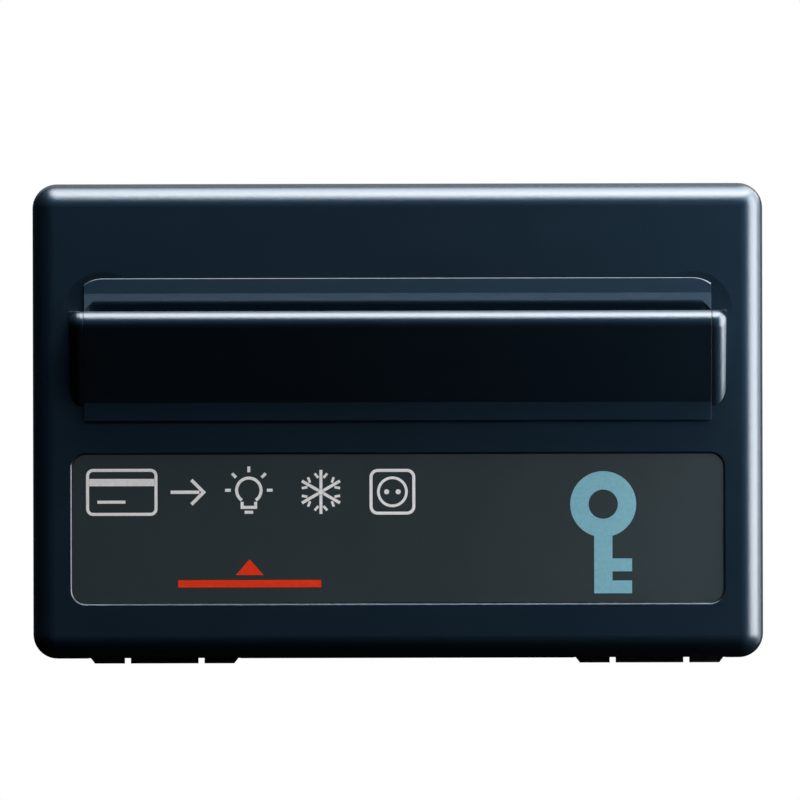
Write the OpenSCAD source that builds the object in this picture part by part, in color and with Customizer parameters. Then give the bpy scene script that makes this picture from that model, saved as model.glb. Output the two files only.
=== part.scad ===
// Hotel key card switch: a snap-on cover with a card slot, a support frame for a three-gang
// flush box and a switch module behind it.
// Each piece is drawn as it hangs: x to the right, y up, z out of the wall, z = 0 on the wall.
// stand_up() then turns it so that +Z is up and +Y goes into the wall.

/* [Cover] */
// Width of the cover
cover_w = 120; // [118:0.5:130]
// Height of the cover
cover_h = 78; // [77:0.5:90]
// Distance of the flat face from the wall
face_z = 15; // [14.8:0.1:17]
// Thickness of the cover's face
cover_wall = 2; // [1.6:0.1:2.2]
// Radius of the cover's corners, seen from the front
corner_r = 4; // [3:0.1:6]
// Radius of the rounded edge round the face
edge_r = 3.3; // [1.5:0.1:3.4]
// How far the sides lean in between rim and face
draft = 0.6; // [0.2:0.1:1]
// Gap between the cover's rim and the wall
rim_gap = 0.5; // [0.2:0.1:0.8]
// Width of the raised cheek at each end of the nose
cheek_w = 2.3; // [1.8:0.1:3]
// Radius of the cheek's outer edge
cheek_r = 2; // [1.2:0.1:2.1]

/* [Card slot] */
// Width of the nose insert
nose_w = 102.6; // [100:0.2:106]
// Height of the insert's top edge above the centre
nose_top = 23.4; // [22.6:0.1:25]
// Height of the insert's foot above the centre
nose_low = 0.1; // [-1:0.1:1]
// Height of the lip's crest above the centre
lip_y = 18; // [17:0.1:19]
// How far the lip stands out from the face
lip_out = 7.6; // [7.4:0.1:9]
// Radius of the lip's crest
lip_r = 1.9; // [1.4:0.1:2]
// Thickness of the lip
lip_wall = 2.1; // [2.05:0.05:2.4]
// Slope of the nose's front, from upright
nose_slope = 30; // [27:1:33]
// How far the insert stands proud of the face
nose_step = 0.35; // [0.2:0.05:0.6]
// Chamfer round the insert's top edge
nose_chamfer = 0.08; // [0.06:0.02:0.3]
// Tilt of the ramp above the slot, at its top
ramp_tilt = 8; // [6:1:12]
// Tilt of the ramp's lower part
ramp_dip = 15; // [12:1:18]
// Radius where the ramp turns into the slot
ramp_r = 1.2; // [0.8:0.1:1.6]
// Slant of the slot's ends, seen from the front
slot_flare = 35; // [20:1:40]
// Lean of the card, from upright
card_lean = 16; // [15:0.5:17]
// Gap that the card slides in
card_gap = 2; // [1.6:0.1:2.4]
// Width of the pocket for the card
pocket_w = 87; // [86.2:0.1:90]
// Depth of the pocket's stop below the centre
pocket_drop = 15; // [14.6:0.1:15.6]

/* [Label] */
// Width of the label recess
label_w = 107.2; // [90:0.2:110]
// Height of the label recess
label_h = 25; // [18:0.1:27]
// Corner radius of the label recess
label_r = 2.5; // [1:0.1:4]
// Height of the label's middle above the centre
label_y = -17.6; // [-20:0.1:-16]
// Thickness of the label
label_t = 0.4; // [0.2:0.05:0.6]
// Depth of the label's surface below the face
label_sink = 0.2; // [0.1:0.05:0.3]

/* [Frame] */
// Thickness of the frame's plate
frame_t = 2.2; // [1.8:0.1:2.4]
// Height of the frame's rim above the wall
frame_rim_z = 5.5; // [5.2:0.1:6.5]
// Width of the frame's window
window_w = 70.2; // [64:0.2:72]
// Height of the frame's window
window_h = 46.6; // [46:0.2:50]
// Distance between the two box screws
box_pitch = 83.5; // [82:0.1:86]
// Width of the box screw slots
box_slot_w = 4.2; // [3.8:0.1:4.6]
// Length of the box screw slots
box_slot_l = 9; // [6:0.1:10]
// Width of each split tab under the cover
tab_w = 24.3; // [20:0.1:26]
// Width of the springy tongue in the middle of a tab
tongue_w = 11.1; // [9:0.1:12]
// Width of the slits beside the tongue
slit_w = 1; // [0.6:0.1:1.2]
// How far the tabs show below the cover
tab_out = 0.8; // [0.4:0.1:1.2]
// Position of the left tab's middle
tab_left_x = -38.4; // [-42:0.1:-36]
// Position of the right tab's middle
tab_right_x = 41.3; // [38:0.1:42]

/* [Module] */
// Depth of the module behind the wall plane
module_depth = 17; // [16.6:0.1:22]
// Wall thickness of the module
module_wall = 1.6; // [1.3:0.1:1.8]
// Thickness of the module's back plate
back_t = 1.8; // [1.4:0.1:2.6]
// Thickness of the module's front flange
flange_t = 1.4; // [1.2:0.1:1.6]

/* [Lever] */
// Height of the lever's pivot above the centre
pivot_y = 1; // [0.5:0.1:1.4]
// Depth of the lever's pivot behind the wall plane
pivot_depth = 4; // [3.8:0.1:4.4]
// Diameter of the lever's pin
pin_d = 3; // [2.4:0.1:3.2]
// Width of the lever's nose
lever_w = 8; // [6:0.1:9]
// Thickness of the lever's arm
lever_t = 3; // [2.6:0.1:3.2]
// How far the lever's nose reaches into the pocket
lever_reach = 1.7; // [1.2:0.1:1.8]
// Distance from the pivot to the heel that pushes the plunger
heel_arm = 3.6; // [3.4:0.05:3.8]
// Distance from the middle to the ears that hold the pin
ear_in = 5.4; // [5.2:0.1:6]
// Wire diameter of the lever spring
spring_wire = 0.6; // [0.4:0.05:0.6]
// Whole turns of the lever spring
spring_turns = 3; // [2:1:3]

/* [Snap switch] */
// Length of the switch case
switch_w = 20; // [19.8:0.1:21]
// Height of the switch case
switch_h = 9.8; // [9.6:0.1:10.4]
// Thickness of the switch case
switch_t = 6.4; // [6.2:0.1:7]
// Wall thickness of the switch case
switch_wall = 1.1; // [0.9:0.05:1.15]
// Diameter of the plunger
plunger_d = 2.8; // [2.2:0.1:3]
// Thickness of the blade
blade_t = 0.35; // [0.25:0.05:0.4]
// Thickness of the terminal strips
strip_t = 0.65; // [0.5:0.05:0.65]
// Distance between the terminals
terminal_pitch = 10; // [9.5:0.1:11]
// Diameter of the wire holes in the clamps
wire_hole_d = 3.2; // [2.6:0.1:3.4]

/* [Fasteners] */
// Shank diameter of the guide screws and back screws
screw_d = 2.5; // [2:0.1:2.8]
// Head diameter of the guide screws and back screws
screw_head_d = 4.8; // [4:0.1:5.2]
// Length of the back screws under their heads
back_screw_l = 9.3; // [7:0.1:9.8]
// Diameter of the terminal screws
clamp_screw_d = 2.5; // [2:0.1:2.8]

/* [Clearances] */
// Gap between pieces that fit into each other
fit_gap = 0.1; // [0.05:0.01:0.15]
// Radial gap round turning and sliding pieces
run_gap = 0.05; // [0.03:0.01:0.08]

/* [Hidden] */
$fn = 64;
eps = 0.01;
far = 200;
black = "#141d27";
grey = "#3a4048";
pale = "#c9ccc8";
brass = "#c8a552";
steel = "#a9adb0";
silver = "#d9dbdc";

// Screws
head_share = 0.32;
screw_head_h = screw_head_d * head_share;

// Cover
side_wall = cover_wall + draft;
inner_z = face_z - cover_wall;
hollow_w = cover_w - 2 * side_wall;
hollow_h = cover_h - 2 * side_wall;
side_lean = atan(draft / (face_z - rim_gap));
label_floor = face_z - label_t - label_sink;
fillet_r = min(edge_r, corner_r - draft);
fillet_z = face_z - fillet_r;
fillet_x = corner_r - draft * (fillet_z - rim_gap) / (face_z - rim_gap) - fillet_r / cos(side_lean);

// Nose
opening_half = nose_w / 2 + fit_gap;
cheek_x = opening_half + cheek_w;
scoop_r = nose_top - lip_y;
cheek_turn = 70;
scoop_x = cheek_x - scoop_r;
scoop_lift = 60;
scoop_edge = 0.12;
scoop_ball_r = norm([scoop_r - scoop_edge, scoop_lift + scoop_edge]);
nose_z = face_z + nose_step;
lip_z = face_z + lip_out;
lip_c = [lip_z - lip_r, lip_y - lip_r];
lip_in = lip_z - lip_wall;
rear_lip = 1.4;
bar_z = inner_z - rear_lip;
ramp_break = lip_y + scoop_r * 0.54;
ramp_low = lip_y + scoop_r * 0.325;
ramp_c = [ramp_z(ramp_low) - ramp_r * cos(ramp_dip), ramp_low - ramp_r * sin(ramp_dip)];
back_c = ramp_c + polar(ramp_r, -card_lean);
bar_low = lip_y - 4.6;
funnel_y = lip_y - 3.1;
funnel_low = (front_z(0) - lip_in + funnel_y * tan(nose_slope)) / (tan(nose_slope) - tan(card_lean));
nose_foot = lip_c + polar(lip_r, -nose_slope);
nose_foot_y = nose_foot.y - (nose_foot.x - nose_z) / tan(nose_slope);
slot_half = nose_w / 2 - 2.3;

// Guide
guide_top = bar_low - 0.2;
guide_low = -pocket_drop - 0.7;
guide_set = 0.15;
guide_t = 1.6;
guide_half = pocket_w / 2 + 2;
ear_t = 1.6;
arm_x = 30;
arm_z = bar_z - 2.5;
arm_y = nose_top + 5;

// Frame
frame_play = 1;
frame_w = hollow_w - 2 * frame_play;
frame_h = hollow_h - 2 * frame_play;
frame_rim_w = 1.6;
catch_z = frame_t + 1;
hook_z = catch_z + 1;
hook_x = 40;
tab_z = 0.4;

// Module
tub_w = window_w - 4 * fit_gap;
tub_h = window_h - 4 * fit_gap;
flange_z = frame_t + fit_gap / 2 + flange_t;
floor_z = frame_t + fit_gap / 2;
flange_lip = 1.4;
clip_x = window_w * 0.285;
clip_half = 5;
vent_pitch = 5;
vent_w = 2;
vent_low = 6;
vent_high = 12;
low_ear_y = guide_low - screw_head_d / 2 - 1;
low_ear_z = flange_z + screw_head_h + ear_t + 0.25;
post_x = tub_w / 2 - module_wall - 1.9;
post_y = tub_h / 2 - module_wall - 1.9;
post_r = 2.6;

// Lever
pivot_z = -pivot_depth;
tip_y = -9.5;
tip_z = back_z(tip_y) + lever_reach;
arm_angle = atan2(tip_y - pivot_y, tip_z - pivot_z);
ear_w = 2;
hub_left = -ear_in + 0.2;
hub_right = ear_in - 3.8;
hub_r = pin_d / 2 + 1;
coil_r = (max(lever_t, pin_d) + spring_wire) / 2 + fit_gap;
heel_r = 1.2;
spring_leg = 8;
lever_travel = 16;

// Switch
push_travel = heel_arm * lever_travel * PI / 180;
push_y = pivot_y + heel_r + run_gap;
switch_y = push_y + push_travel + 0.35;
switch_z = pivot_z - heel_arm;
cave_w = switch_w - 2 * switch_wall;
cave_y = switch_y + switch_wall;
cave_top = switch_y + switch_h - switch_wall;
cave_t = switch_t - 2 * switch_wall;
strip_w = cave_t - 0.6;
blade_y = cave_y + 0.95;
hinge_x = -cave_w / 2 + 1.75;
blade_end = cave_w / 2 - strip_t - 0.3;
contact_x = blade_end - 1.1;
contact_r = 1.1;
contact_h = 0.4;
blade_turn = atan(push_travel / -hinge_x);
open_y = blade_y + blade_t / 2 + contact_h + (contact_x - hinge_x) * tan(blade_turn) + 0.28;
clamp_y = switch_y + switch_h + 1.6;
clamp_top = tub_h / 2 - module_wall - 0.3;
clamp_w = terminal_pitch * 0.68;
clamp_t = switch_t + 0.4;
clamp_mid = (clamp_y + clamp_top) / 2;
wire_way = wire_hole_d + 1.4;
tongue_half = wire_way / 2 - fit_gap;
driver_r = clamp_screw_d + 0.4;
clamp_rib_x = (driver_r + terminal_pitch / 2 - 1) / 2;

function polar(r, a) = [r * cos(a), r * sin(a)];
// Front of the ramp at height y: its upper part, and below the break the steeper lower part
function upper_z(y) = nose_z + (nose_top - nose_chamfer - y) * tan(ramp_tilt);
function ramp_z(y) = y > ramp_break
  ? upper_z(y)
  : upper_z(ramp_break) + (ramp_break - y) * tan(ramp_dip);
// Front of the pocket's back wall, and the plane where the ribs begin, at height y
function back_z(y) = back_c.x - (back_c.y - y) * tan(card_lean);
function front_z(y) = back_z(y) + card_gap / cos(card_lean);

module stand_up() {
  rotate([90, 0, 0]) children();
}

module both_sides() {
  children();
  mirror([1, 0, 0]) children();
}

// A section drawn as (z, y), drawn out along x
module along_x(length, at = 0) {
  translate([at, 0, 0])
    rotate([0, -90, 0])
      linear_extrude(length, center = true) children();
}

// An outline drawn as (x, y), from one z to another
module slab(z0, z1) {
  translate([0, 0, z0]) linear_extrude(z1 - z0) children();
}

// A block given by two corners
module block(a, b) {
  translate(a) cube(b - a);
}

module rounded_rect(w, h, r) {
  square([w - 2 * r, h], center = true);
  square([w, h - 2 * r], center = true);
  for (sx = [-1, 1], sy = [-1, 1]) {
    translate([sx * (w / 2 - r), sy * (h / 2 - r)]) circle(r);
  }
}

// What a rounded corner takes off: the corner outside a circle, between two directions
module off_corner(centre, r, a0, a1) {
  outside = 1.3 * r / cos((a1 - a0) / 2);
  difference() {
    polygon([centre, centre + polar(r, a0), centre + polar(outside, (a0 + a1) / 2), centre + polar(r, a1)]);
    translate(centre) circle(r);
  }
}

// A solid with rounded corners. The child is the section of its rim, drawn as
// (distance out from the corner's axis, z).
module tray(w, h, r, z0, z1) {
  span = [w - 2 * r, h - 2 * r];
  block([-span.x / 2, -span.y / 2, z0], [span.x / 2, span.y / 2, z1]);
  for (k = [0:3]) {
    reach = k % 2 == 0 ? span.x : span.y;
    run = k % 2 == 0 ? span.y : span.x;
    rotate(90 * k) {
      translate([reach / 2, 0, 0])
        rotate([90, 0, 0])
          linear_extrude(run, center = true) children();
      translate([reach / 2, run / 2, 0])
        rotate_extrude(angle = 90) children();
    }
  }
}

module cover_rim_section() {
  difference() {
    polygon([[0, rim_gap], [corner_r, rim_gap], [corner_r - draft, face_z], [0, face_z]]);
    off_corner([fillet_x, fillet_z], fillet_r, side_lean, 90);
  }
}

module label_recess_section() {
  lip = 0.25;
  polygon([
    [0, label_floor], [label_r - lip, label_floor], [label_r - lip, face_z - lip],
    [label_r + lip, face_z + lip], [0, face_z + lip]
  ]);
}

// Outline of the hole for the nose, and of the nose itself
module nose_outline(grow = 0) {
  half = nose_w / 2 + grow;
  intersection() {
    translate([-half, nose_low - grow]) square([2 * half, nose_top - nose_low + 2 * grow]);
    union() {
      translate([-scoop_x, nose_low - grow]) square([2 * scoop_x, nose_top - nose_low + 2 * grow]);
      translate([-half - 1, nose_low - grow]) square([2 * half + 2, lip_y - nose_low + grow]);
      for (side = [-1, 1]) {
        translate([side * scoop_x, lip_y]) circle(scoop_r + grow);
      }
    }
  }
}

// Section across a cheek's rounded end, drawn as (distance from the lip's axis, x)
module cheek_section() {
  middle = [lip_r - cheek_r, cheek_x - cheek_r * sin(cheek_turn)];
  edge = middle + polar(cheek_r, cheek_turn);
  difference() {
    translate([0, opening_half]) square([lip_r, cheek_w]);
    difference() {
      polygon([middle, [lip_r + 1, middle.y], [lip_r + 1, cheek_x + 1], [edge.x, cheek_x + 1], edge]);
      translate(middle) circle(cheek_r);
    }
  }
}

// The raised end beside the nose: it follows the lip and the slope below it
module cheek() {
  sn = sin(nose_slope);
  cs = cos(nose_slope);
  length = (lip_out - lip_r + lip_r * cs + 1) / sn;
  low = lip_c - polar(length, 90 - nose_slope);
  translate([0, lip_c.y, lip_c.x])
    multmatrix([[0, 0, 1, 0], [-sn, cs, 0, 0], [cs, sn, 0, 0]])
      rotate_extrude(angle = 90 + nose_slope) cheek_section();
  translate([0, lip_c.y, lip_c.x])
    multmatrix([[0, 1, 0, 0], [-sn, 0, cs, 0], [cs, 0, sn, 0]])
      translate([0, 0, -length]) linear_extrude(length) cheek_section();
  along_x(cheek_w, opening_half + cheek_w / 2)
    polygon([[low.x, lip_y], [lip_c.x, lip_y], lip_c, low]);
}

module guide_boss(x, y, z) {
  translate([x, y, z]) cylinder(d = screw_d + 3.5, h = inner_z - z + eps);
}

module screw_bore(x, y, z0, z1) {
  translate([x, y, z0]) cylinder(d = screw_d + 2 * run_gap, h = z1 - z0);
}

// Rib on the cover's inside that holds the card against the guide
module card_rib(x) {
  top = nose_low - rear_lip - 0.3;
  along_x(1.2, x)
    polygon([
      [inner_z + eps, top], [front_z(top), top],
      [front_z(-pocket_drop), -pocket_drop], [inner_z + eps, -pocket_drop]
    ]);
}

module front_cover() {
  color(black)
  difference() {
    union() {
      difference() {
        tray(cover_w, cover_h, corner_r, rim_gap, face_z) cover_rim_section();
        slab(-1, inner_z) rounded_rect(hollow_w, hollow_h, 1.5);
        translate([0, label_y, 0])
          tray(label_w, label_h, label_r, label_floor, face_z + 0.25) label_recess_section();
        both_sides() scoop();
      }
      both_sides() {
        cheek();
        guide_boss(arm_x, arm_y, arm_z + eps);
        guide_boss(arm_x, low_ear_y, low_ear_z + eps);
        card_rib(pocket_w * 0.2);
        card_rib(pocket_w * 0.41);
        cover_catch(hook_x, 1);
      }
      cover_catch(tab_left_x, -1);
      cover_catch(tab_right_x, -1);
    }
    slab(bar_z - 1, face_z + 1) nose_outline(fit_gap);
    both_sides() {
      screw_bore(arm_x, arm_y, arm_z - 1, inner_z + 0.4);
      screw_bore(arm_x, low_ear_y, low_ear_z - 1, inner_z);
    }
    for (x = [tab_left_x, tab_right_x]) {
      block([x - tab_w / 2 - 0.3, -cover_h, -1], [x + tab_w / 2 + 0.3, -hollow_h / 2 + 1, frame_t + 0.3]);
    }
  }
}

// Dished hollow above a cheek, with a chamfered edge
module scoop() {
  translate([scoop_x, lip_y, face_z + scoop_lift]) sphere(scoop_ball_r);
  translate([scoop_x, lip_y, face_z - scoop_edge])
    cylinder(r1 = scoop_r - scoop_edge, r2 = scoop_r + scoop_edge, h = 2 * scoop_edge);
}

// Ledge inside the cover that the frame's hooks hold
module cover_catch(x, side) {
  y0 = side * (hollow_h / 2 + eps);
  y1 = side * (hollow_h / 2 - frame_play + 0.25);
  block([x - 4.5, min(y0, y1), catch_z], [x + 4.5, max(y0, y1), hook_z - 0.2]);
}

module slot_nose() {
  color(black) {
    intersection() {
      union() {
        along_x(nose_w) {
          ramp_bar_section();
          lip_bar_section();
        }
        both_sides() slot_end();
      }
      nose_envelope();
    }
    along_x(2 * scoop_x)
      polygon([
        [bar_z, nose_top - 1], [bar_z, nose_top + rear_lip], [inner_z - fit_gap / 2, nose_top + rear_lip],
        [inner_z - fit_gap / 2, nose_top - 1]
      ]);
    along_x(2 * scoop_x)
      polygon([
        [inner_z - fit_gap / 2, nose_low + eps], [inner_z - fit_gap / 2, nose_low - rear_lip],
        [front_z(nose_low - rear_lip), nose_low - rear_lip], [front_z(nose_low + eps), nose_low + eps]
      ]);
  }
}

// The bar above the slot: ramp, rounded turn and the top of the pocket's back wall
module ramp_bar_section() {
  edge = ramp_c + polar(ramp_r / cos((ramp_dip + card_lean) / 2), (ramp_dip - card_lean) / 2);
  difference() {
    polygon([
      [bar_z, nose_top], [nose_z, nose_top], [nose_z, nose_top - nose_chamfer],
      [ramp_z(ramp_break), ramp_break], edge, [back_z(bar_low), bar_low], [bar_z, bar_low]
    ]);
    off_corner(ramp_c, ramp_r, -card_lean, ramp_dip);
  }
}

// The nose in front of the slot: rounded lip, sloping front and flat foot
module lip_bar_section() {
  edge = lip_c + polar(lip_r / cos(45 + nose_slope / 2), 45 - nose_slope / 2);
  difference() {
    polygon([
      [lip_in, lip_y], edge, [nose_z, nose_foot_y], [nose_z, nose_low],
      [front_z(nose_low), nose_low], [front_z(funnel_low), funnel_low], [lip_in, funnel_y]
    ]);
    off_corner(lip_c, lip_r, -nose_slope, 90);
  }
}

// Wall across the slot's end, slanted so that the slot narrows going in
module slot_end_wall() {
  rotate([90, 0, 0])
    linear_extrude(far, center = true)
      polygon([
        [slot_half, 0], [slot_half, back_c.x - 0.4], [slot_half + 0.8, back_c.x + 0.4],
        [slot_half + 1.7, lip_in + eps], [far, lip_in + eps], [far, 0]
      ]);
}

// Closed end of the slot: above the lip it also flares, going down
module slot_end() {
  split_y = lip_y - 0.5;
  flare_y = ramp_low + 0.25;
  intersection() {
    along_x(nose_w)
      polygon([
        ramp_c, ramp_c + polar(ramp_r, ramp_dip), [ramp_z(lip_y - 0.4), lip_y - 0.4],
        [lip_in + eps, lip_y - 0.4], [lip_in + eps, funnel_y], [front_z(funnel_low) + eps, funnel_low],
        [front_z(nose_low) + eps, nose_low], [back_z(nose_low), nose_low], [back_z(bar_low), bar_low],
        [back_z(bar_low) - 0.1, bar_low], [back_c.x - 0.1, back_c.y]
      ]);
    union() {
      intersection() {
        slot_end_wall();
        block([0, -far, 0], [nose_w / 2, split_y, far]);
      }
      intersection() {
        translate([slot_half, flare_y, 0])
          rotate(slot_flare)
            translate([-slot_half, -flare_y, 0]) slot_end_wall();
        block([0, split_y - eps, 0], [nose_w / 2, far, far]);
      }
    }
  }
}

// Outer limits of the nose, with its chamfered top edge
module nose_envelope() {
  z0 = nose_z - nose_chamfer;
  t = 3;
  slab(bar_z, z0) nose_outline();
  along_x(2 * scoop_x)
    polygon([
      [z0, nose_low], [z0, nose_top], [z0 + t, nose_top - t], [z0 + t, lip_y],
      [lip_z + 1, lip_y], [lip_z + 1, nose_low]
    ]);
  both_sides() {
    block([scoop_x, nose_low, z0], [nose_w / 2, lip_y, lip_z + 1]);
    intersection() {
      translate([scoop_x, lip_y, 0])
        rotate_extrude(angle = 90) polygon([[0, z0], [scoop_r, z0], [scoop_r - t, z0 + t], [0, z0 + t]]);
      block([0, 0, z0], [nose_w / 2, nose_top, z0 + t]);
    }
  }
}

module label_plate() {
  color("#29323a")
  translate([0, label_y, 0])
    slab(label_floor, face_z - label_sink)
      rounded_rect(label_w - 0.5 - 2 * fit_gap, label_h - 0.5 - 2 * fit_gap, label_r - 0.25 - fit_gap);
}

// Plate behind the card with rails at its sides and a stop under it
module card_guide() {
  rear = guide_set + guide_t / cos(card_lean);
  stop_y = -pocket_drop;
  color(grey)
  difference() {
    union() {
      along_x(2 * guide_half)
        polygon([
          [back_z(guide_top) - guide_set, guide_top], [back_z(guide_low) - guide_set, guide_low],
          [back_z(guide_low) - rear, guide_low], [back_z(guide_top) - rear, guide_top]
        ]);
      along_x(2 * guide_half)
        polygon([
          [back_z(stop_y) - rear / 2, stop_y], [front_z(stop_y) - 0.2, stop_y],
          [front_z(guide_low) - 0.2, guide_low], [back_z(guide_low) - rear / 2, guide_low]
        ]);
      both_sides() {
        along_x(2, pocket_w / 2 + 1)
          polygon([
            [back_z(guide_top - 1) - rear / 2, guide_top - 1], [front_z(guide_top - 1) - 0.2, guide_top - 1],
            [front_z(guide_low) - 0.2, guide_low], [back_z(guide_low) - rear / 2, guide_low]
          ]);
        block([arm_x - 4, -3, arm_z - ear_t], [arm_x + 4, arm_y + 3, arm_z]);
        block([arm_x - 4, low_ear_y - 3, low_ear_z - ear_t], [arm_x + 4, -pocket_drop, low_ear_z]);
      }
    }
    block([-lever_w / 2 - 1, -pocket_drop + 1, 0], [lever_w / 2 + 1, -4.6, inner_z]);
    both_sides() {
      translate([arm_x, arm_y, arm_z - 5]) cylinder(d = screw_d + 0.3, h = 6);
      translate([arm_x, low_ear_y, low_ear_z - 5]) cylinder(d = screw_d + 0.3, h = 6);
    }
  }
}

// Pan head screw with its head's underside at z = 0 and its shank going up
module pan_screw(d, head_d, length) {
  head_h = head_d * head_share;
  cylinder(d = d, h = length);
  difference() {
    translate([0, 0, -head_h]) cylinder(d = head_d, h = head_h);
    block([-head_d, -0.35, -head_h - 1], [head_d, 0.35, -head_h * 0.45]);
  }
}

module guide_screws() {
  color(steel)
  both_sides() {
    translate([arm_x, arm_y, arm_z - ear_t]) pan_screw(screw_d, screw_head_d, ear_t + inner_z - arm_z);
    translate([arm_x, low_ear_y, low_ear_z - ear_t])
      pan_screw(screw_d, screw_head_d, ear_t + inner_z - low_ear_z - 0.5);
  }
}

module tab_outline() {
  edge = cover_h / 2;
  polygon([
    [-tab_w / 2, -frame_h / 2 + 1], [-tab_w / 2, -edge + 0.1], [-tab_w / 2 + 0.7, -edge - tab_out],
    [tab_w / 2 - 0.7, -edge - tab_out], [tab_w / 2, -edge + 0.1], [tab_w / 2, -frame_h / 2 + 1]
  ]);
}

module frame_hook(x, side) {
  y0 = side * (frame_h / 2 - frame_rim_w / 2);
  y1 = side * (frame_h / 2 + frame_play - 0.2);
  block([x - 4, min(y0, y1), hook_z], [x + 4, max(y0, y1), frame_rim_z]);
}

module mounting_frame() {
  color(grey)
  difference() {
    union() {
      slab(0, frame_t) rounded_rect(frame_w, frame_h, 3);
      slab(0, frame_rim_z)
        difference() {
          rounded_rect(frame_w, frame_h, 3);
          rounded_rect(frame_w - 2 * frame_rim_w, frame_h - 2 * frame_rim_w, 1.5);
        }
      both_sides() {
        block([window_w / 2 + flange_lip + 0.3, -4.5, 0], [frame_w / 2 - 0.5, 4.5, frame_t + 1]);
        frame_hook(hook_x, 1);
      }
      for (x = [tab_left_x, tab_right_x]) {
        translate([x, 0, 0]) slab(tab_z, frame_t) tab_outline();
        frame_hook(x, -1);
      }
    }
    slab(-1, frame_t + 2) rounded_rect(window_w, window_h, 1);
    both_sides() {
      translate([box_pitch / 2, 0, -1])
        linear_extrude(frame_t + 4) {
          square([box_slot_l - box_slot_w, box_slot_w], center = true);
          for (end = [-1, 1]) {
            translate([end * (box_slot_l - box_slot_w) / 2, 0]) circle(d = box_slot_w);
          }
        }
      for (side = [-1, 1]) {
        translate([clip_x, side * window_h / 2, 0])
          block([-clip_half, -1, -1], [clip_half, 1, frame_t / 2]);
      }
    }
    for (x = [tab_left_x, tab_right_x], side = [-1, 1]) {
      translate([x + side * (tongue_w + slit_w) / 2, 0, 0])
        block([-slit_w / 2, -cover_h, -1], [slit_w / 2, -frame_h / 2 + 5.5, frame_rim_z + 1]);
    }
  }
}

// Tub that clips into the frame's window and carries lever, switch and clamps
module module_body() {
  color(pale)
  difference() {
    union() {
      slab(floor_z, flange_z) rounded_rect(window_w + 2 * flange_lip, window_h + 2 * flange_lip, 1.5);
      slab(-module_depth, floor_z + eps)
        difference() {
          rounded_rect(tub_w, tub_h, 0.8);
          rounded_rect(tub_w - 2 * module_wall, tub_h - 2 * module_wall, 0.5);
        }
      both_sides() {
        lever_ear();
        for (side = [-1, 1]) {
          translate([post_x, side * post_y, -module_depth])
            cylinder(r = post_r, h = module_depth + floor_z + eps);
          module_clip(clip_x, side);
        }
        block(
          [switch_w / 2 + fit_gap, switch_y + 1, switch_z],
          [switch_w / 2 + 1.5, clamp_y - 1.6, floor_z + eps]
        );
        for (k = [0.5, 1.5]) {
          translate([k * terminal_pitch, 0, 0])
            block([-1, clamp_y, -module_depth + 3], [1, tub_h / 2 - 1, floor_z]);
        }
      }
      block(
        [-switch_w / 2, switch_y + 2, switch_z + switch_t / 2 + fit_gap / 2],
        [switch_w / 2, switch_y + switch_h, floor_z + eps]
      );
      block(
        [-terminal_pitch * 1.5, clamp_y, switch_z + clamp_t / 2 + fit_gap / 2],
        [terminal_pitch * 1.5, tub_h / 2 - 1, floor_z + eps]
      );
    }
    block([-lever_w / 2 - 1, -pocket_drop + 1, floor_z - 1], [lever_w / 2 + 1, pivot_y - 0.5, flange_z + 1]);
    both_sides() {
      for (side = [-1, 1]) {
        translate([post_x, side * post_y, -module_depth - 1])
          cylinder(d = screw_d + 2 * run_gap, h = back_screw_l - back_t + 1.5);
      }
    }
    for (k = [-1:1]) {
      translate([k * terminal_pitch, tub_h / 2, 0])
        block(
          [-wire_way / 2, -module_wall - 1, -module_depth - 1],
          [wire_way / 2, 1, switch_z + wire_way / 2]
        );
    }
  }
}

// Ear that holds one end of the lever's pin
module lever_ear() {
  difference() {
    block([ear_in, pivot_y - 3, pivot_z - 3.2], [ear_in + ear_w, pivot_y + hub_r - 0.1, floor_z + eps]);
    translate([0, pivot_y, pivot_z])
      rotate([0, 90, 0]) cylinder(d = pin_d + 0.04, h = ear_in + ear_w + 1);
  }
}

// Small wedge that snaps behind the frame's window edge
module module_clip(x, side) {
  y0 = side * (tub_h / 2 - 0.5);
  y1 = side * (window_h / 2 + 0.5);
  block([x - 4, min(y0, y1), 0.1], [x + 4, max(y0, y1), frame_t / 2 - fit_gap]);
}

module module_back() {
  z0 = -module_depth - back_t;
  color(pale)
  difference() {
    union() {
      slab(z0, -module_depth) rounded_rect(tub_w, tub_h, 0.8);
      both_sides() {
        block([6, cave_y, -module_depth - eps], [7.2, cave_top, switch_z - switch_t / 2 - fit_gap / 2]);
      }
      for (k = [-1:1], side = [-1, 1]) {
        translate([k * terminal_pitch + side * clamp_rib_x, 0, 0])
          block([-0.4, clamp_y, -module_depth - eps], [0.4, clamp_top, switch_z - clamp_t / 2 - fit_gap / 2]);
      }
      for (k = [-1:1]) {
        translate([k * terminal_pitch, tub_h / 2, 0])
          block([-tongue_half, -module_wall, -module_depth - eps], [tongue_half, 0, switch_z - wire_way / 2]);
      }
    }
    for (k = [-1:1]) {
      translate([k * terminal_pitch, clamp_mid, z0 - 1]) cylinder(r = driver_r, h = back_t + 2);
    }
    both_sides() {
      for (side = [-1, 1]) {
        translate([post_x, side * post_y, z0 - 1]) cylinder(d = screw_d + 0.3, h = back_t + 2);
      }
    }
    for (k = [-4:4]) {
      translate([k * vent_pitch, -tub_h / 2, z0])
        block([-vent_w / 2, vent_low, -1], [vent_w / 2, vent_high, 0.6]);
    }
  }
}

module back_screws() {
  color(steel)
  both_sides() {
    for (side = [-1, 1]) {
      translate([post_x, side * post_y, -module_depth - back_t])
        pan_screw(screw_d, screw_head_d, back_screw_l);
    }
  }
}

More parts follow.
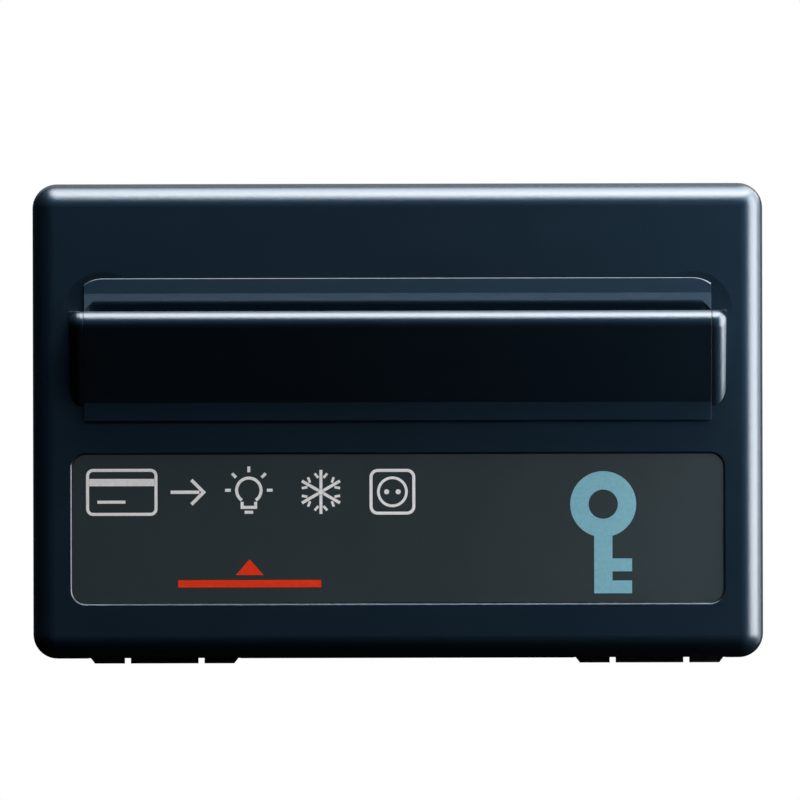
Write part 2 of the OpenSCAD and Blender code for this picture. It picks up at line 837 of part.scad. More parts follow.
// Lever: hub on the pin, heel towards the plunger and arm out to the nose in the pocket
module card_lever() {
  along = [cos(arm_angle), sin(arm_angle)];
  up = [-sin(arm_angle), cos(arm_angle)];
  centre = [pivot_z, pivot_y];
  tip = [tip_z, tip_y];
  start = centre + along * (hub_r + 1);
  root = centre + along * (hub_r - 1);
  shoulder = tip - along * 1.2;
  color("#e8e6df")
  difference() {
    union() {
      along_x(hub_right - hub_left, (hub_left + hub_right) / 2) {
        translate(centre) circle(hub_r);
        polygon([
          centre + up * lever_t / 2, start + up * lever_t / 2,
          start - up * lever_t / 2, centre - up * lever_t / 2
        ]);
        translate([switch_z, pivot_y]) circle(heel_r);
        polygon([
          [pivot_z, pivot_y - heel_r], [pivot_z, pivot_y + heel_r],
          [switch_z, pivot_y + heel_r], [switch_z, pivot_y - heel_r]
        ]);
      }
      along_x(lever_w)
        polygon([
          root + along * 1.6 + up * lever_t / 2, shoulder + up * lever_t / 2, tip,
          shoulder - up * lever_t / 2, root + along * 1.6 - up * lever_t / 2
        ]);
    }
    translate([0, pivot_y, pivot_z])
      rotate([0, 90, 0]) cylinder(d = pin_d + 2 * run_gap, h = 4 * ear_in, center = true);
  }
}

module lever_pin() {
  length = 2 * (ear_in + ear_w) + 0.8;
  color(steel)
  translate([-length / 2 - 0.8, pivot_y, pivot_z])
    rotate([0, 90, 0]) {
      translate([0, 0, 0.8]) cylinder(d = pin_d, h = length);
      cylinder(d = pin_d + 1.2, h = 1);
    }
}

// Part of a turn of wire
module wire_arc(r, angle, d) {
  rotate_extrude(angle = angle) translate([r, 0]) circle(d = d);
}

// Torsion spring on the pin: a leg to the module's floor, level and slanting half turns by
// turns, and a leg under the lever's arm
module lever_spring() {
  x0 = ear_in - 0.4 - spring_wire / 2;
  step = (x0 - hub_right - 0.3 - spring_wire / 2) / spring_turns;
  slant = atan(step / 2 / coil_r);
  d = spring_wire;
  fine_d = spring_wire - 2 * eps;
  color(steel)
  translate([x0, pivot_y, pivot_z])
    multmatrix([[0, 0, -1, 0], [0, 1, 0, 0], [1, 0, 0, 0]]) {
      translate([0, coil_r, 0]) rotate([0, 90, 0]) cylinder(d = fine_d, h = floor_z - pivot_z - fit_gap);
      for (i = [0:spring_turns - 1]) {
        translate([0, 0, i * step]) rotate(90) wire_arc(coil_r, 180, d);
        translate([0, 0, (i + 0.5) * step])
          rotate(270) rotate([0, slant, 0]) wire_arc(coil_r / cos(slant), 180, fine_d);
      }
      translate([0, 0, spring_turns * step]) {
        rotate(90) wire_arc(coil_r, 180 + arm_angle, d);
        rotate(arm_angle - 90)
          translate([coil_r, -spring_wire / 4, 0])
            rotate([-90, 0, 0]) cylinder(d = fine_d, h = spring_leg);
      }
    }
}

// Tray of the snap switch, open to the front
module switch_case() {
  z0 = switch_z - switch_t / 2;
  z1 = switch_z + switch_t / 2 - switch_wall;
  color(black)
  difference() {
    block([-switch_w / 2, switch_y, z0], [switch_w / 2, switch_y + switch_h, z1]);
    block([-cave_w / 2, cave_y, z0 + switch_wall], [cave_w / 2, cave_top, z1 + 1]);
    translate([0, switch_y - 1, switch_z])
      rotate([-90, 0, 0]) cylinder(d = plunger_d + 2 * run_gap, h = switch_wall + 2);
    for (x = [-cave_w / 2 + strip_t / 2 + 0.12, 0, cave_w / 2 - strip_t / 2 - 0.12]) {
      block(
        [x - strip_t / 2 - 0.05, cave_top - 1, switch_z - strip_w / 2 - 0.05],
        [x + strip_t / 2 + 0.05, switch_y + switch_h + 1, z1 + 1]
      );
    }
  }
}

module switch_lid() {
  z1 = switch_z + switch_t / 2;
  color(grey)
  block([-switch_w / 2, switch_y, z1 - switch_wall + 0.02], [switch_w / 2, switch_y + switch_h, z1]);
}

module switch_plunger() {
  tip_r = 0.9;
  tip_top = blade_y - blade_t / 2 - run_gap;
  color("#b5432f")
  translate([0, 0, switch_z]) {
    translate([0, push_y, 0]) rotate([-90, 0, 0]) cylinder(d = plunger_d, h = cave_y + 0.4 - push_y);
    translate([0, cave_y + run_gap, 0]) rotate([-90, 0, 0]) cylinder(d = strip_w - 0.2, h = 0.4);
    translate([0, tip_top - tip_r, 0]) sphere(tip_r);
  }
}

// Springy contact arm with a rolled end that rocks on the common terminal's foot
module snap_blade() {
  color(brass)
  difference() {
    union() {
      block(
        [hinge_x, blade_y - blade_t / 2, switch_z - strip_w / 2 + 0.15],
        [blade_end, blade_y + blade_t / 2, switch_z + strip_w / 2 - 0.15]
      );
      translate([hinge_x, blade_y, switch_z]) cylinder(r = 0.5, h = strip_w - 0.3, center = true);
    }
    translate([contact_x, blade_y, switch_z])
      rotate([90, 0, 0]) cylinder(r = contact_r * 0.6 + 0.03, h = 2, center = true);
  }
}

module blade_contact() {
  color(silver)
  translate([contact_x, blade_y, switch_z])
    rotate([90, 0, 0]) {
      cylinder(r = contact_r * 0.6, h = blade_t + 2 * contact_h, center = true);
      for (side = [-1, 1]) {
        translate([0, 0, side * (blade_t / 2 + contact_h / 2 + eps)])
          cylinder(r = contact_r, h = contact_h - 2 * eps, center = true);
      }
    }
}

// Strip of terminal brass between two corners, across the switch
module strip(a, b) {
  block([a.x, a.y, switch_z - strip_w / 2], [b.x, b.y, switch_z + strip_w / 2]);
}

module common_terminal() {
  x0 = -cave_w / 2 + 0.12;
  foot_top = blade_y - 0.5 - 0.02;
  color(brass) {
    strip([x0, cave_y + 0.05], [x0 + strip_t, clamp_y - 0.02]);
    strip([x0, cave_y + 0.05], [hinge_x + 0.8, foot_top]);
  }
}

module open_terminal() {
  color(brass) {
    strip([-strip_t / 2, open_y], [strip_t / 2, clamp_y - 0.02]);
    strip([-strip_t / 2, open_y + contact_h], [contact_x + contact_r, open_y + contact_h + strip_t]);
    translate([contact_x, open_y, switch_z]) rotate([-90, 0, 0]) cylinder(r = contact_r, h = contact_h + 0.1);
  }
}

module closed_terminal() {
  x1 = cave_w / 2 - 0.12;
  color(brass) {
    strip([x1 - strip_t, cave_y + 0.05], [x1, clamp_y - 0.02]);
    strip([contact_x - contact_r, cave_y + 0.05], [x1, blade_y - blade_t / 2 - contact_h - 0.03]);
  }
}

module terminal_clamps() {
  color(brass)
  for (k = [-1:1]) {
    translate([k * terminal_pitch, 0, switch_z])
      difference() {
        block([-clamp_w / 2, clamp_y, -clamp_t / 2], [clamp_w / 2, clamp_top, clamp_t / 2]);
        translate([0, clamp_y + 1.2, 0]) rotate([-90, 0, 0]) cylinder(d = wire_hole_d, h = clamp_top);
        translate([0, clamp_mid, -clamp_t]) cylinder(d = clamp_screw_d + 2 * run_gap, h = clamp_t);
      }
  }
}

module terminal_screws() {
  tip = -wire_hole_d / 2 - 0.2;
  length = 4.2;
  color(steel)
  for (k = [-1:1]) {
    translate([k * terminal_pitch, clamp_mid, switch_z + tip - length])
      pan_screw(clamp_screw_d, clamp_screw_d * 1.8, length);
  }
}

stand_up() front_cover();
stand_up() slot_nose();
stand_up() label_plate();
stand_up() card_guide();
stand_up() guide_screws();
stand_up() mounting_frame();
stand_up() module_body();
stand_up() module_back();
stand_up() back_screws();
stand_up() card_lever();
stand_up() lever_pin();
stand_up() lever_spring();
stand_up() switch_case();
stand_up() switch_lid();
stand_up() switch_plunger();
stand_up() snap_blade();
stand_up() blade_contact();
stand_up() common_terminal();
stand_up() open_terminal();
stand_up() closed_terminal();
stand_up() terminal_clamps();
stand_up() terminal_screws();
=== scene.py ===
"""Looks, light and camera for the key card switch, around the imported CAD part."""
import math

import bmesh
import bpy
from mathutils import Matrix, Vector


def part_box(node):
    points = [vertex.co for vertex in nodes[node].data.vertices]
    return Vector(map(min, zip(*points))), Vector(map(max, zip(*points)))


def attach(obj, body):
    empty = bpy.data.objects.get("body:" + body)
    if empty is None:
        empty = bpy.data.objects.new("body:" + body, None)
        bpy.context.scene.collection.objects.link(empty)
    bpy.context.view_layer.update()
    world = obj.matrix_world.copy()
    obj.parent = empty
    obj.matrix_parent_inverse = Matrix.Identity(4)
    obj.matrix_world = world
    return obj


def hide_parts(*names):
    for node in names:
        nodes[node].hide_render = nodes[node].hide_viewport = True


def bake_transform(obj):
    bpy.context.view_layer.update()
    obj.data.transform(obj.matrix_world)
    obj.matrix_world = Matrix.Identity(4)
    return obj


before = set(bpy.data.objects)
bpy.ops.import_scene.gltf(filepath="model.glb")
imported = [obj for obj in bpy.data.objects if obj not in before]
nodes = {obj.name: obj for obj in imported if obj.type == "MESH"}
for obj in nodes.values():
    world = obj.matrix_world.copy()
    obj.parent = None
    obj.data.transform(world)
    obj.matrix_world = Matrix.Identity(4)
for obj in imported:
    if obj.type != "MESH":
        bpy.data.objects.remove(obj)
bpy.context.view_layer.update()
MM = 0.001
WHITE = (1.0, 1.0, 1.0, 1.0)


# Helpers for colours, shader nodes and meshes

def linear(hex_colour):
    """A colour written as #rrggbb, as the linear numbers that shaders take."""
    parts = [int(hex_colour[i:i + 2], 16) / 255 for i in (1, 3, 5)]
    return tuple(c / 12.92 if c <= 0.04045 else ((c + 0.055) / 1.055) ** 2.4 for c in parts) + (1.0,)


def shade(colour, factor):
    """A colour made darker or lighter, at most white."""
    return tuple(min(1.0, c * factor) for c in colour[:3]) + (1.0,)


def add_node(tree, kind, inputs=None, **settings):
    """A new shader node with its settings and the values of some of its inputs."""
    node = tree.nodes.new(kind)
    for key, value in settings.items():
        setattr(node, key, value)
    for socket, value in (inputs or {}).items():
        node.inputs[socket].default_value = value
    return node


def add_piece(name, mesh, material):
    """Turns a finished bmesh into an object of one material."""
    bmesh.ops.recalc_face_normals(mesh, faces=mesh.faces)
    data = bpy.data.meshes.new(name)
    mesh.to_mesh(data)
    mesh.free()
    data.materials.append(material)
    piece = bpy.data.objects.new(name, data)
    bpy.context.collection.objects.link(piece)
    return piece


# Materials

BEVEL_SAMPLES = 6


class Surface:
    """A Principled material with the few node chains that the pieces share."""

    def __init__(self, name, **sockets):
        self.material = bpy.data.materials.new(name)
        self.material.use_nodes = True
        self.tree = self.material.node_tree
        self.shader = self.tree.nodes["Principled BSDF"]
        for socket, value in sockets.items():
            self.shader.inputs[socket.replace("_", " ")].default_value = value
        self.normal = None

    def add(self, kind, inputs=None, **settings):
        return add_node(self.tree, kind, inputs, **settings)

    def link(self, output, socket):
        self.tree.links.new(output, socket)

    def feed(self, output, socket_name):
        """Links an output to the Principled shader."""
        self.link(output, self.shader.inputs[socket_name])

    def noise(self, scale, detail, roughness=0.6, stretch=None):
        place = self.add("ShaderNodeTexCoord").outputs["Object"]
        if stretch:
            mapping = self.add("ShaderNodeMapping", {"Scale": stretch})
            self.link(place, mapping.inputs["Vector"])
            place = mapping.outputs["Vector"]
        node = self.add("ShaderNodeTexNoise", {"Scale": scale, "Detail": detail, "Roughness": roughness})
        self.link(place, node.inputs["Vector"])
        return node.outputs["Fac"]

    def ramp(self, factor, stops):
        node = self.add("ShaderNodeValToRGB")
        band = node.color_ramp.elements
        while len(band) < len(stops):
            band.new(0.5)
        for element, (at, colour) in zip(band, stops):
            element.position = at
            element.color = colour
        self.link(factor, node.inputs["Fac"])
        return node.outputs["Color"]

    def span(self, factor, low, high, start=0.3, end=0.7):
        """Maps a factor that runs from start to end on to a value from low to high."""
        limits = {"From Min": start, "From Max": end, "To Min": low, "To Max": high}
        node = self.add("ShaderNodeMapRange", limits)
        self.link(factor, node.inputs["Value"])
        return node.outputs["Result"]

    def combine(self, operation, first, second):
        node = self.add("ShaderNodeMath", operation=operation)
        self.link(first, node.inputs[0])
        self.link(second, node.inputs[1])
        return node.outputs[0]

    def mixed_paint(self, factor):
        """Makes the base colour a mix by a factor, with its colours A and B still to be given."""
        node = self.add("ShaderNodeMix", data_type="RGBA")
        self.link(factor, node.inputs["Factor"])
        self.feed(node.outputs["Result"], "Base Color")
        return node

    def bevel(self, radius):
        return self.add("ShaderNodeBevel", {"Radius": radius}, samples=BEVEL_SAMPLES).outputs["Normal"]

    def soft_edges(self, radius):
        """Rounds the look of sharp edges by a fraction of a millimetre, as moulding and handling do."""
        self.normal = self.bevel(radius)
        self.feed(self.normal, "Normal")

    def bump(self, height, strength, depth):
        node = self.add("ShaderNodeBump", {"Strength": strength, "Distance": depth})
        self.link(height, node.inputs["Height"])
        if self.normal:
            self.link(self.normal, node.inputs["Normal"])
        self.normal = node.outputs["Normal"]
        self.feed(self.normal, "Normal")

    def worn_edges(self, colour, worn, radius):
        """Mixes a rubbed colour in where the rounded normal leaves the true one: along edges."""
        dot = self.add("ShaderNodeVectorMath", operation="DOT_PRODUCT")
        self.link(self.bevel(radius), dot.inputs[0])
        self.link(self.add("ShaderNodeNewGeometry").outputs["Normal"], dot.inputs[1])
        edge = self.span(dot.outputs["Value"], low=1.0, high=0.0, start=0.80, end=0.995)
        clouds = self.noise(scale=420, detail=3, roughness=0.55)
        patches = self.span(clouds, low=0.0, high=0.6, start=0.42, end=0.68)
        mix = self.mixed_paint(self.combine("MULTIPLY", edge, patches))
        self.link(colour, mix.inputs["A"])
        mix.inputs["B"].default_value = worn


def moulded(name, colour, rough, grain=0.25, grain_scale=4200, edge=0.12, wear=None, **sockets):
    """Injection-moulded plastic: faint flow mottling, spark-eroded grain and softened edges."""
    base = linear(colour)
    s = Surface(name, **sockets)
    flow = s.noise(scale=55, detail=4, stretch=(1.0, 1.0, 0.6))
    paint = s.ramp(flow, ((0.25, shade(base, 0.90)), (0.75, shade(base, 1.10))))
    s.feed(paint, "Base Color")
    if wear:
        s.worn_edges(paint, linear(wear), radius=0.45 * MM)
    fine = s.noise(scale=grain_scale, detail=3)
    handled = s.noise(scale=140, detail=4)
    grain_sheen = s.span(fine, low=rough - 0.05, high=rough + 0.05)
    handled_sheen = s.span(handled, low=-0.025, high=0.025)
    s.feed(s.combine("ADD", grain_sheen, handled_sheen), "Roughness")
    s.soft_edges(radius=edge * MM)
    s.bump(fine, strength=grain, depth=0.03 * MM)
    if "Coat_Weight" in sockets:
        s.feed(s.normal, "Coat Normal")
    return s.material


def metal(name, colour, rough, brushed=None, scratch=0.12):
    """Plated or rolled metal: fine drawn lines, cloudy tarnish and a soft edge."""
    base = linear(colour)
    s = Surface(name, Metallic=1.0)
    cloud = s.noise(scale=260, detail=4)
    tarnish = ((0.25, shade(base, 0.72)), (0.55, base), (0.8, shade(base, 1.12)))
    s.feed(s.ramp(cloud, tarnish), "Base Color")
    lines = s.noise(scale=5200, detail=2, roughness=0.5, stretch=brushed)
    s.feed(s.span(lines, low=rough - 0.07, high=rough + 0.09), "Roughness")
    s.soft_edges(radius=0.06 * MM)
    s.bump(lines, strength=scratch, depth=0.01 * MM)
    return s.material


def ink(name, colour):
    """Screen-printed ink: nearly even, with the mesh's faint thick and thin places."""
    base = linear(colour)
    s = Surface(name, Specular_IOR_Level=0.4)
    weave = s.noise(scale=2600, detail=2, roughness=0.5)
    s.feed(s.ramp(weave, ((0.3, shade(base, 0.90)), (0.7, shade(base, 1.04)))), "Base Color")
    s.feed(s.span(weave, low=0.38, high=0.48), "Roughness")
    s.bump(weave, strength=0.08, depth=0.01 * MM)
    return s.material


COVER = moulded(
    "cover_plastic", "#020710", 0.55, grain=1.0, grain_scale=7000, edge=0.05, wear="#101a24",
    Specular_IOR_Level=0.68, Specular_Tint=(0.24, 0.60, 1.0, 1.0),
    Coat_Weight=1.0, Coat_Roughness=0.20, Coat_IOR=1.68,
)
LABEL = moulded(
    "label_film", "#2e383c", 0.60, grain=0.05, grain_scale=7000, edge=0.05,
    Specular_IOR_Level=0.15,
)
GUIDE = moulded("guide_plastic", "#23282d", 0.50, grain=0.15)
FRAME = moulded("frame_plastic", "#101316", 0.52, grain=0.20, wear="#2a2e31")
MODULE = moulded("module_plastic", "#9da19c", 0.48, grain=0.16, edge=0.18, wear="#b4b7b2")
LEVER = moulded("lever_plastic", "#e2dfd4", 0.36, grain=0.08)
SWITCH = moulded("switch_plastic", "#1a1c20", 0.42, grain=0.12)
LID = moulded("switch_lid_plastic", "#31353b", 0.44, grain=0.12)
PLUNGER = moulded("plunger_plastic", "#a63a28", 0.38, grain=0.05)
STEEL = metal("steel", "#b4b8ba", 0.32)
SPRING = metal("spring_steel", "#9aa0a4", 0.26, brushed=(1.0, 1.0, 0.2), scratch=0.06)
BRASS = metal("brass", "#c39b4a", 0.30, brushed=(0.25, 1.0, 1.0))
SILVER = metal("contact_silver", "#d5d7d8", 0.24, scratch=0.05)

FINISH = {
    COVER: ("front_cover", "slot_nose"),
    LABEL: ("label_plate",),
    GUIDE: ("card_guide",),
    FRAME: ("mounting_frame",),
    MODULE: ("module_body", "module_back"),
    LEVER: ("card_lever",),
    SWITCH: ("switch_case",),
    LID: ("switch_lid",),
    PLUNGER: ("switch_plunger",),
    STEEL: ("guide_screws", "back_screws", "lever_pin", "terminal_screws"),
    BRASS: ("snap_blade", "common_terminal", "open_terminal", "closed_terminal", "terminal_clamps"),
    SILVER: ("blade_contact",),
}
for material, names in FINISH.items():
    for name in names:
        nodes[name].material_slots[0].material = material


# Print on the label: pictograms only, drawn in millimetres with x to the right and z up

# Width of most lines
LINE = 0.5
# Cosine of half a corner's turn below which its mitre is cut short
SHARPEST = 0.4
# Thickness of the ink, and how far its middle lies in front of the label's face
FILM = 0.016 * MM
LIFT = 0.02 * MM
label_low, label_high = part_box("label_plate")
LABEL_LEFT = label_low.x / MM
LABEL_RIGHT = label_high.x / MM
LABEL_FOOT = label_low.z / MM
PRINT_Y = label_low.y - LIFT


def polar(length, turn):
    """A step of some length, turned in degrees from the right towards the top."""
    a = math.radians(turn)
    return Vector((length * math.cos(a), length * math.sin(a)))


def left_of(step):
    return Vector((-step.y, step.x))


def arc(middle, r, start, end, steps=6):
    """Points along a round arc, both ends among them."""
    return [Vector(middle) + polar(r, start + (end - start) * i / steps) for i in range(steps + 1)]


def rounded(half_w, half_h, r):
    """Outline of a rectangle about the middle, with round corners."""
    x = half_w - r
    z = half_h - r
    corners = ((x, z), (-x, z), (-x, -z), (x, -z))
    return [p for i, corner in enumerate(corners) for p in arc(corner, r, 90 * i, 90 * i + 90)]


class Print:
    """Flat shapes of one ink on the label's face, drawn about a middle that moves from sign to sign."""

    def __init__(self, name, material):
        self.name = name
        self.material = material
        self.mesh = bmesh.new()
        self.middle = Vector((0.0, 0.0))

    def move_to(self, x, z):
        self.middle = Vector((x, z))

    def area(self, points):
        places = [(self.middle + Vector(p)) * MM for p in points]
        self.mesh.faces.new([self.mesh.verts.new((x, PRINT_Y, z)) for x, z in places])

    def box(self, x0, z0, x1, z1):
        self.area(((x0, z0), (x1, z0), (x1, z1), (x0, z1)))

    def disc(self, middle, r, steps=32):
        self.area(arc(middle, r, 0, 360, steps)[:-1])

    def stroke(self, points, width=LINE, closed=False):
        """A line of even width through the points, with mitred corners."""
        path = [Vector(p) for p in points]
        if closed:
            path = [path[-1], *path, path[0], path[1]]
        else:
            path = [2 * path[0] - path[1], *path, 2 * path[-1] - path[-2]]
        sides = []
        for before, p, after in zip(path, path[1:], path[2:]):
            came = (p - before).normalized()
            goes = (after - p).normalized()
            side = left_of(came + goes).normalized()
            reach = width / 2 / max(SHARPEST, side.dot(left_of(came)))
            sides.append((p + side * reach, p - side * reach))
        for (left, right), (next_left, next_right) in zip(sides, sides[1:]):
            self.area((left, right, next_right, next_left))

    def ring(self, middle, r, width=LINE, start=0, end=360, steps=40):
        """A line along an arc, closed where it goes all the way round."""
        whole = end - start == 360
        points = arc(middle, r, start, end, steps)
        self.stroke(points[:-1] if whole else points, width, closed=whole)

    def finish(self):
        piece = add_piece(self.name, self.mesh, self.material)
        film = piece.modifiers.new("film", "SOLIDIFY")
        film.thickness = FILM
        film.offset = 0.0
        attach(piece, "housing")


def card_sign(p):
    """A card with its stripe and a line of print."""
    half_w, half_h, corner, gap = 5.6, 3.6, 0.9, 0.02
    stripe_low, stripe_high = 1.0, 2.2
    text_left, text_right, text_z = -4.0, 0.6, -1.6
    stripe_half = half_w - LINE / 2 - gap
    p.stroke(rounded(half_w, half_h, corner), closed=True)
    p.box(-stripe_half, stripe_low, stripe_half, stripe_high)
    p.stroke(((text_left, text_z), (text_right, text_z)))


def arrow_sign(p):
    width, tail, neck, tip, barb = 0.55, -2.8, 1.9, 2.6, 2.0
    p.stroke(((tail, 0), (neck, 0)), width)
    p.stroke(((tip - barb, barb), (tip, 0), (tip - barb, -barb)), width)


def lamp_sign(p):
    """A bulb with its cap and five rays."""
    middle = Vector((0.0, 0.3))
    bulb, near, far = 2.0, 2.95, 3.9
    neck, shoulder, base = 1.1, -1.6, -2.5
    tip_half, tip = 0.7, -3.3
    p.ring(middle, bulb, start=-55, end=235)
    p.stroke(((-neck, shoulder), (-neck, base), (neck, base), (neck, shoulder)))
    p.stroke(((-tip_half, tip), (tip_half, tip)))
    for turn in range(0, 181, 45):
        p.stroke((middle + polar(near, turn), middle + polar(far, turn)))


def cool_sign(p):
    """A snow crystal: six arms from a hub, each with two twigs."""
    hub, root, arm, fork, lean = 0.48, 0.51, 3.6, 1.8, 40
    twig_root, twig, twig_line = 0.66, 1.6, 0.42
    p.disc((0, 0), hub, steps=24)
    for turn in range(30, 390, 60):
        p.stroke((polar(root, turn), polar(arm, turn)))
        start = polar(fork, turn)
        for way in (turn - lean, turn + lean):
            p.stroke((start + polar(twig_root, way), start + polar(twig, way)), twig_line)


def socket_sign(p):
    """A wall socket: a plate, a round well and two pin holes."""
    half, corner, well, well_line, pin_x, pin = 3.5, 1.1, 2.3, 0.45, 0.95, 0.42
    p.stroke(rounded(half, half, corner), closed=True)
    p.ring((0, 0), well, well_line)
    p.disc((-pin_x, 0), pin)
    p.disc((pin_x, 0), pin)


def rule_sign(p):
    """A rule, with a triangle over its middle."""
    half, thick, gap = 11.7, 1.2, 0.8
    mark_half, mark_height = 2.3, 2.6
    foot = thick + gap
    p.box(-half, 0, half, thick)
    p.area(((-mark_half, foot), (mark_half, foot), (0, foot + mark_height)))


def key_sign(p):
    """A key that hangs: a ring, a shaft below it and two teeth at its side, a hair apart."""
    bow, rim, half, end, gap = 3.9, 3.0, 1.5, -14.6, 0.004
    tooth, tooth_height, tooth_pitch = 3.2, 2.1, 3.6
    p.ring((0, 0), bow, rim, steps=56)
    reach = bow + rim / 2 + gap
    turn = math.degrees(math.asin(half / reach))
    p.area(arc((0, 0), reach, -90 - turn, -90 + turn) + [(half, end), (-half, end)])
    side = half + gap
    for low in (end, end + tooth_pitch):
        p.box(side, low, side + tooth, low + tooth_height)


white = Print("label_print_white", ink("ink_white", "#fdfdfd"))
row_z = LABEL_FOOT + 18.15
places_from_left = {
    card_sign: 8.05,
    arrow_sign: 18.85,
    lamp_sign: 28.85,
    cool_sign: 40.65,
    socket_sign: 52.35,
}
for sign, x in places_from_left.items():
    white.move_to(LABEL_LEFT + x, row_z)
    sign(white)
white.finish()

red = Print("label_print_red", ink("ink_red", "#f93a14"))
rule_x = LABEL_LEFT + 28.95
rule_z = LABEL_FOOT + 2.55
red.move_to(rule_x, rule_z)
rule_sign(red)
red.finish()

blue = Print("label_print_blue", ink("ink_blue", "#7db2c3"))
key_x = LABEL_RIGHT - 19.65
key_z = LABEL_FOOT + 16.05
blue.move_to(key_x, key_z)
key_sign(blue)
blue.finish()


# Lever spring: one wire from the module's floor, round the pin and out under the lever's arm

# The wire's sizes, as in the CAD, and the number of points along each stretch of it
WIRE_R = 0.3 * MM
WIRE_SIDES = 14
COILS = 3
ARM_ANGLE = -37.9
ARM_LEG = 7.85 * MM
FLOOR_STEPS = 10
HALF_TURN_STEPS = 18
LAST_TURN_STEPS = 16
ARM_STEPS = 12
spring_low, spring_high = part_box("lever_spring")
pin_low, pin_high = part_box("lever_pin")
pin_y = (pin_low.y + pin_high.y) / 2
pin_z = (pin_low.z + pin_high.z) / 2
coil_r = spring_high.z - pin_z - WIRE_R
first_x = spring_high.x - WIRE_R
last_x = spring_low.x + WIRE_R


def on_coil(turn, x):
    """The wire's middle at x along the pin, turned from straight forward over the top."""
    a = math.radians(turn)
    return Vector((x, pin_y - coil_r * math.cos(a), pin_z + coil_r * math.sin(a)))


def straight(start, end, steps):
    """Points along a straight line, both ends among them."""
    return [start.lerp(end, i / steps) for i in range(steps + 1)]


def spring_path():
    """The floor leg, coils that go half a turn level and half a turn slanting, and the arm's leg."""
    pitch = (first_x - last_x) / COILS
    top = on_coil(90, first_x)
    path = straight(Vector((first_x, spring_low.y, top.z)), top, FLOOR_STEPS)[:-1]
    half_turn = [180 * i / HALF_TURN_STEPS for i in range(HALF_TURN_STEPS)]
    for coil in range(COILS):
        x = first_x - coil * pitch
        path += [on_coil(90 + turn, x) for turn in half_turn]
        for turn in half_turn:
            slant = pitch * (1 - math.cos(math.radians(turn))) / 2
            path.append(on_coil(270 + turn, x - slant))
    last_turn = 180 + ARM_ANGLE
    path += [on_coil(90 + last_turn * i / LAST_TURN_STEPS, last_x) for i in range(LAST_TURN_STEPS + 1)]
    a = math.radians(ARM_ANGLE)
    heading = Vector((0, -math.cos(a), math.sin(a)))
    return path + straight(path[-1], path[-1] + heading * ARM_LEG, ARM_STEPS)[1:]


def wire(name, path, material):
    """A round wire along a path that winds about x."""
    mesh = bmesh.new()
    turns = [2 * math.pi * k / WIRE_SIDES for k in range(WIRE_SIDES)]
    rings = []
    for i, p in enumerate(path):
        along = (path[min(i + 1, len(path) - 1)] - path[max(i - 1, 0)]).normalized()
        side = along.cross(Vector((1, 0, 0))).normalized()
        up = side.cross(along)
        spokes = [side * math.cos(a) + up * math.sin(a) for a in turns]
        rings.append([mesh.verts.new(p + spoke * WIRE_R) for spoke in spokes])
    for a, b in zip(rings, rings[1:]):
        for k in range(WIRE_SIDES):
            n = (k + 1) % WIRE_SIDES
            mesh.faces.new((a[k], a[n], b[n], b[k])).smooth = True
    mesh.faces.new(rings[0])
    mesh.faces.new(rings[-1])
    return add_piece(name, mesh, material)


spring = wire("lever_spring_wire", spring_path(), SPRING)
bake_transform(spring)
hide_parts("lever_spring")


# Stage: a floor and a surround that are pale to the camera

FLOOR_HALF = 6.0
FLOOR_Z = -0.35
FLOOR_PALE = (0.9, 0.9, 0.9, 1.0)
FLOOR_DARK = (0.005, 0.005, 0.005, 1.0)
FLOOR_GLOW = 0.62
SKY_TINT = (0.45, 0.75, 1.0, 1.0)
SKY_STRENGTH = 0.012


def floor_material():
    """Pale to the camera; to other rays it stays dark, so that no light comes up from below."""
    s = Surface("floor", Roughness=0.9, Specular_IOR_Level=0.0, Emission_Color=WHITE)
    seen = s.add("ShaderNodeLightPath").outputs["Is Camera Ray"]
    glow = s.add("ShaderNodeMath", {1: FLOOR_GLOW}, operation="MULTIPLY")
    s.link(seen, glow.inputs[0])
    s.feed(glow.outputs[0], "Emission Strength")
    speck = s.add("ShaderNodeTexNoise", {"Scale": 30}).outputs["Fac"]
    mix = s.mixed_paint(seen)
    mix.inputs["A"].default_value = FLOOR_DARK
    s.link(s.ramp(speck, ((0.0, shade(FLOOR_PALE, 0.97)), (1.0, FLOOR_PALE))), mix.inputs["B"])
    return s.material


plane = bpy.data.meshes.new("floor")
corners = [(x * FLOOR_HALF, y * FLOOR_HALF, FLOOR_Z) for x, y in ((-1, -1), (1, -1), (1, 1), (-1, 1))]
plane.from_pydata(corners, [], [(0, 1, 2, 3)])
plane.materials.append(floor_material())
floor = bpy.data.objects.new("floor", plane)
bpy.context.collection.objects.link(floor)

world = bpy.data.worlds.new("surround")
bpy.context.scene.world = world
world.use_nodes = True
sky = world.node_tree
dim = sky.nodes["Background"]
dim.inputs["Color"].default_value = SKY_TINT
dim.inputs["Strength"].default_value = SKY_STRENGTH
bright = add_node(sky, "ShaderNodeBackground", {"Color": WHITE, "Strength": 1.0})
ray = add_node(sky, "ShaderNodeLightPath")
either = add_node(sky, "ShaderNodeMath", operation="MAXIMUM")
choose = add_node(sky, "ShaderNodeMixShader")
sky.links.new(ray.outputs["Is Camera Ray"], either.inputs[0])
sky.links.new(ray.outputs["Is Transmission Ray"], either.inputs[1])
sky.links.new(either.outputs[0], choose.inputs["Fac"])
sky.links.new(dim.outputs[0], choose.inputs[1])
sky.links.new(bright.outputs[0], choose.inputs[2])
sky.links.new(choose.outputs[0], sky.nodes["World Output"].inputs["Surface"])


# Lamps: panels above and at the right, a key light, and fills behind

CEILING_Z = 0.29
CEILING_X = (-0.14, 0.24)
SIDE_X = 0.15
MIDDLE = (0.0, 0.0, 0.0)


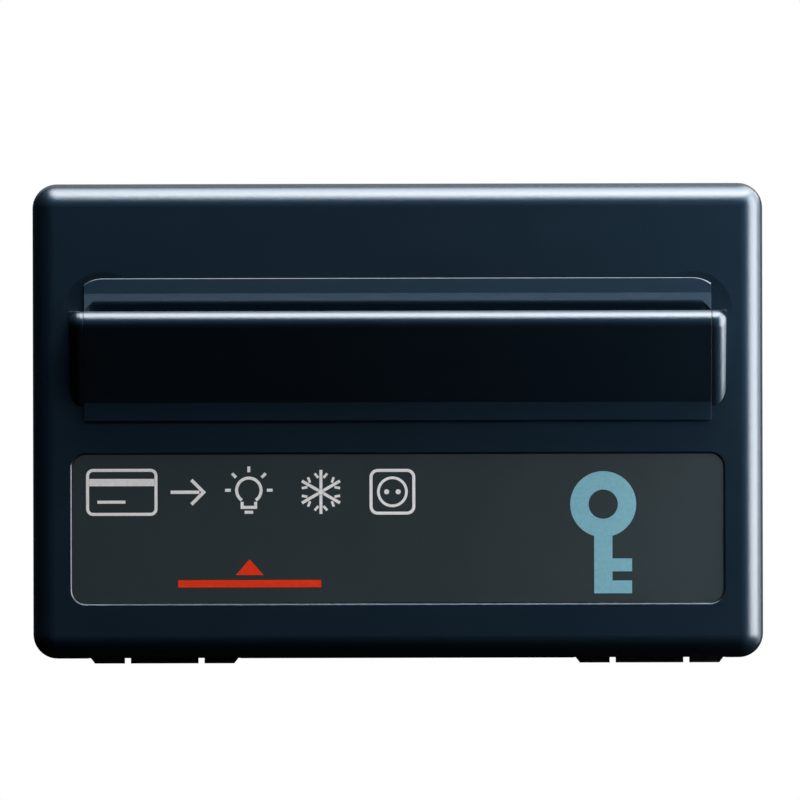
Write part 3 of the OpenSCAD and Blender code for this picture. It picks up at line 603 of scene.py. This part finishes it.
def lamp(name, at, size, power):
    """A rectangular lamp that the camera doesn't see."""
    light = bpy.data.lights.new(name, "AREA")
    light.shape = "RECTANGLE"
    light.size, light.size_y = size
    light.energy = power
    holder = bpy.data.objects.new(name, light)
    holder.location = at
    holder.visible_camera = False
    bpy.context.collection.objects.link(holder)
    return holder


def softbox(name, at, aim, size, power):
    """A lamp that is turned towards a point."""
    holder = lamp(name, at, size, power)
    holder.rotation_euler = (Vector(aim) - Vector(at)).to_track_quat("-Z", "Y").to_euler()


def power_for(radiance, size):
    """The power at which a lamp of this size has the radiance."""
    return radiance * math.pi * size[0] * size[1]


def panel_above(name, x, y, radiance):
    """A level lamp over a span of x and y that shines down."""
    size = (x[1] - x[0], y[1] - y[0])
    lamp(name, (sum(x) / 2, sum(y) / 2, CEILING_Z), size, power_for(radiance, size))


def panel_right(name, x, y, z, radiance):
    """An upright lamp over a span of y and z that shines left."""
    size = (z[1] - z[0], y[1] - y[0])
    holder = lamp(name, (x, sum(y) / 2, sum(z) / 2), size, power_for(radiance, size))
    holder.rotation_euler = (0, math.pi / 2, 0)


panel_above("softbox_top_front", x=CEILING_X, y=(-0.13, -0.02), radiance=8.6)
panel_above("softbox_top", x=CEILING_X, y=(-0.02, 0.06), radiance=7.0)
panel_above("softbox_top_back", x=CEILING_X, y=(0.06, 0.15), radiance=2.8)
panel_right("softbox_right", x=SIDE_X, y=(-0.091, 0.013), z=(-0.05, 0.12), radiance=8.0)
panel_right("card_corner", x=SIDE_X, y=(-0.10, 0.06), z=(0.12, 0.27), radiance=3.5)
panel_above("card_front", x=(-0.22, 0.22), y=(-0.24, -0.13), radiance=0.5)
softbox("key", at=(0.14, -0.43, 0.77), aim=(0.0, 0.0, -0.01), size=(0.42, 0.42), power=5.6)
panel_right("card_right", x=0.20, y=(0.02, 0.20), z=(-0.10, 0.10), radiance=1.0)
softbox("card_behind", at=(0.0, 0.60, 0.30), aim=MIDDLE, size=(0.5, 0.4), power=0.15)
softbox("fill_behind", at=(0.42, 0.44, 0.44), aim=MIDDLE, size=(0.6, 0.6), power=3.0)


# Camera: square on to the face, far away, rolled by a hair

DISTANCE = 3.0
FACE_Y = -15 * MM
AIM_X = 0.376 * MM
AIM_Z = 3.42 * MM
ROLL = 0.0022
PIXELS_PER_MM = 6.1095
IMAGE_PIXELS = 800
SENSOR = 36
view = bpy.data.cameras.new("camera")
view.sensor_width = SENSOR
view.lens = SENSOR * DISTANCE / (IMAGE_PIXELS / PIXELS_PER_MM * MM)
camera = bpy.data.objects.new("camera", view)
camera.location = (AIM_X, FACE_Y - DISTANCE, AIM_Z)
camera.rotation_euler = (math.pi / 2, ROLL, 0)
bpy.context.collection.objects.link(camera)
bpy.context.scene.camera = camera
bpy.context.scene.view_settings.view_transform = "Standard"
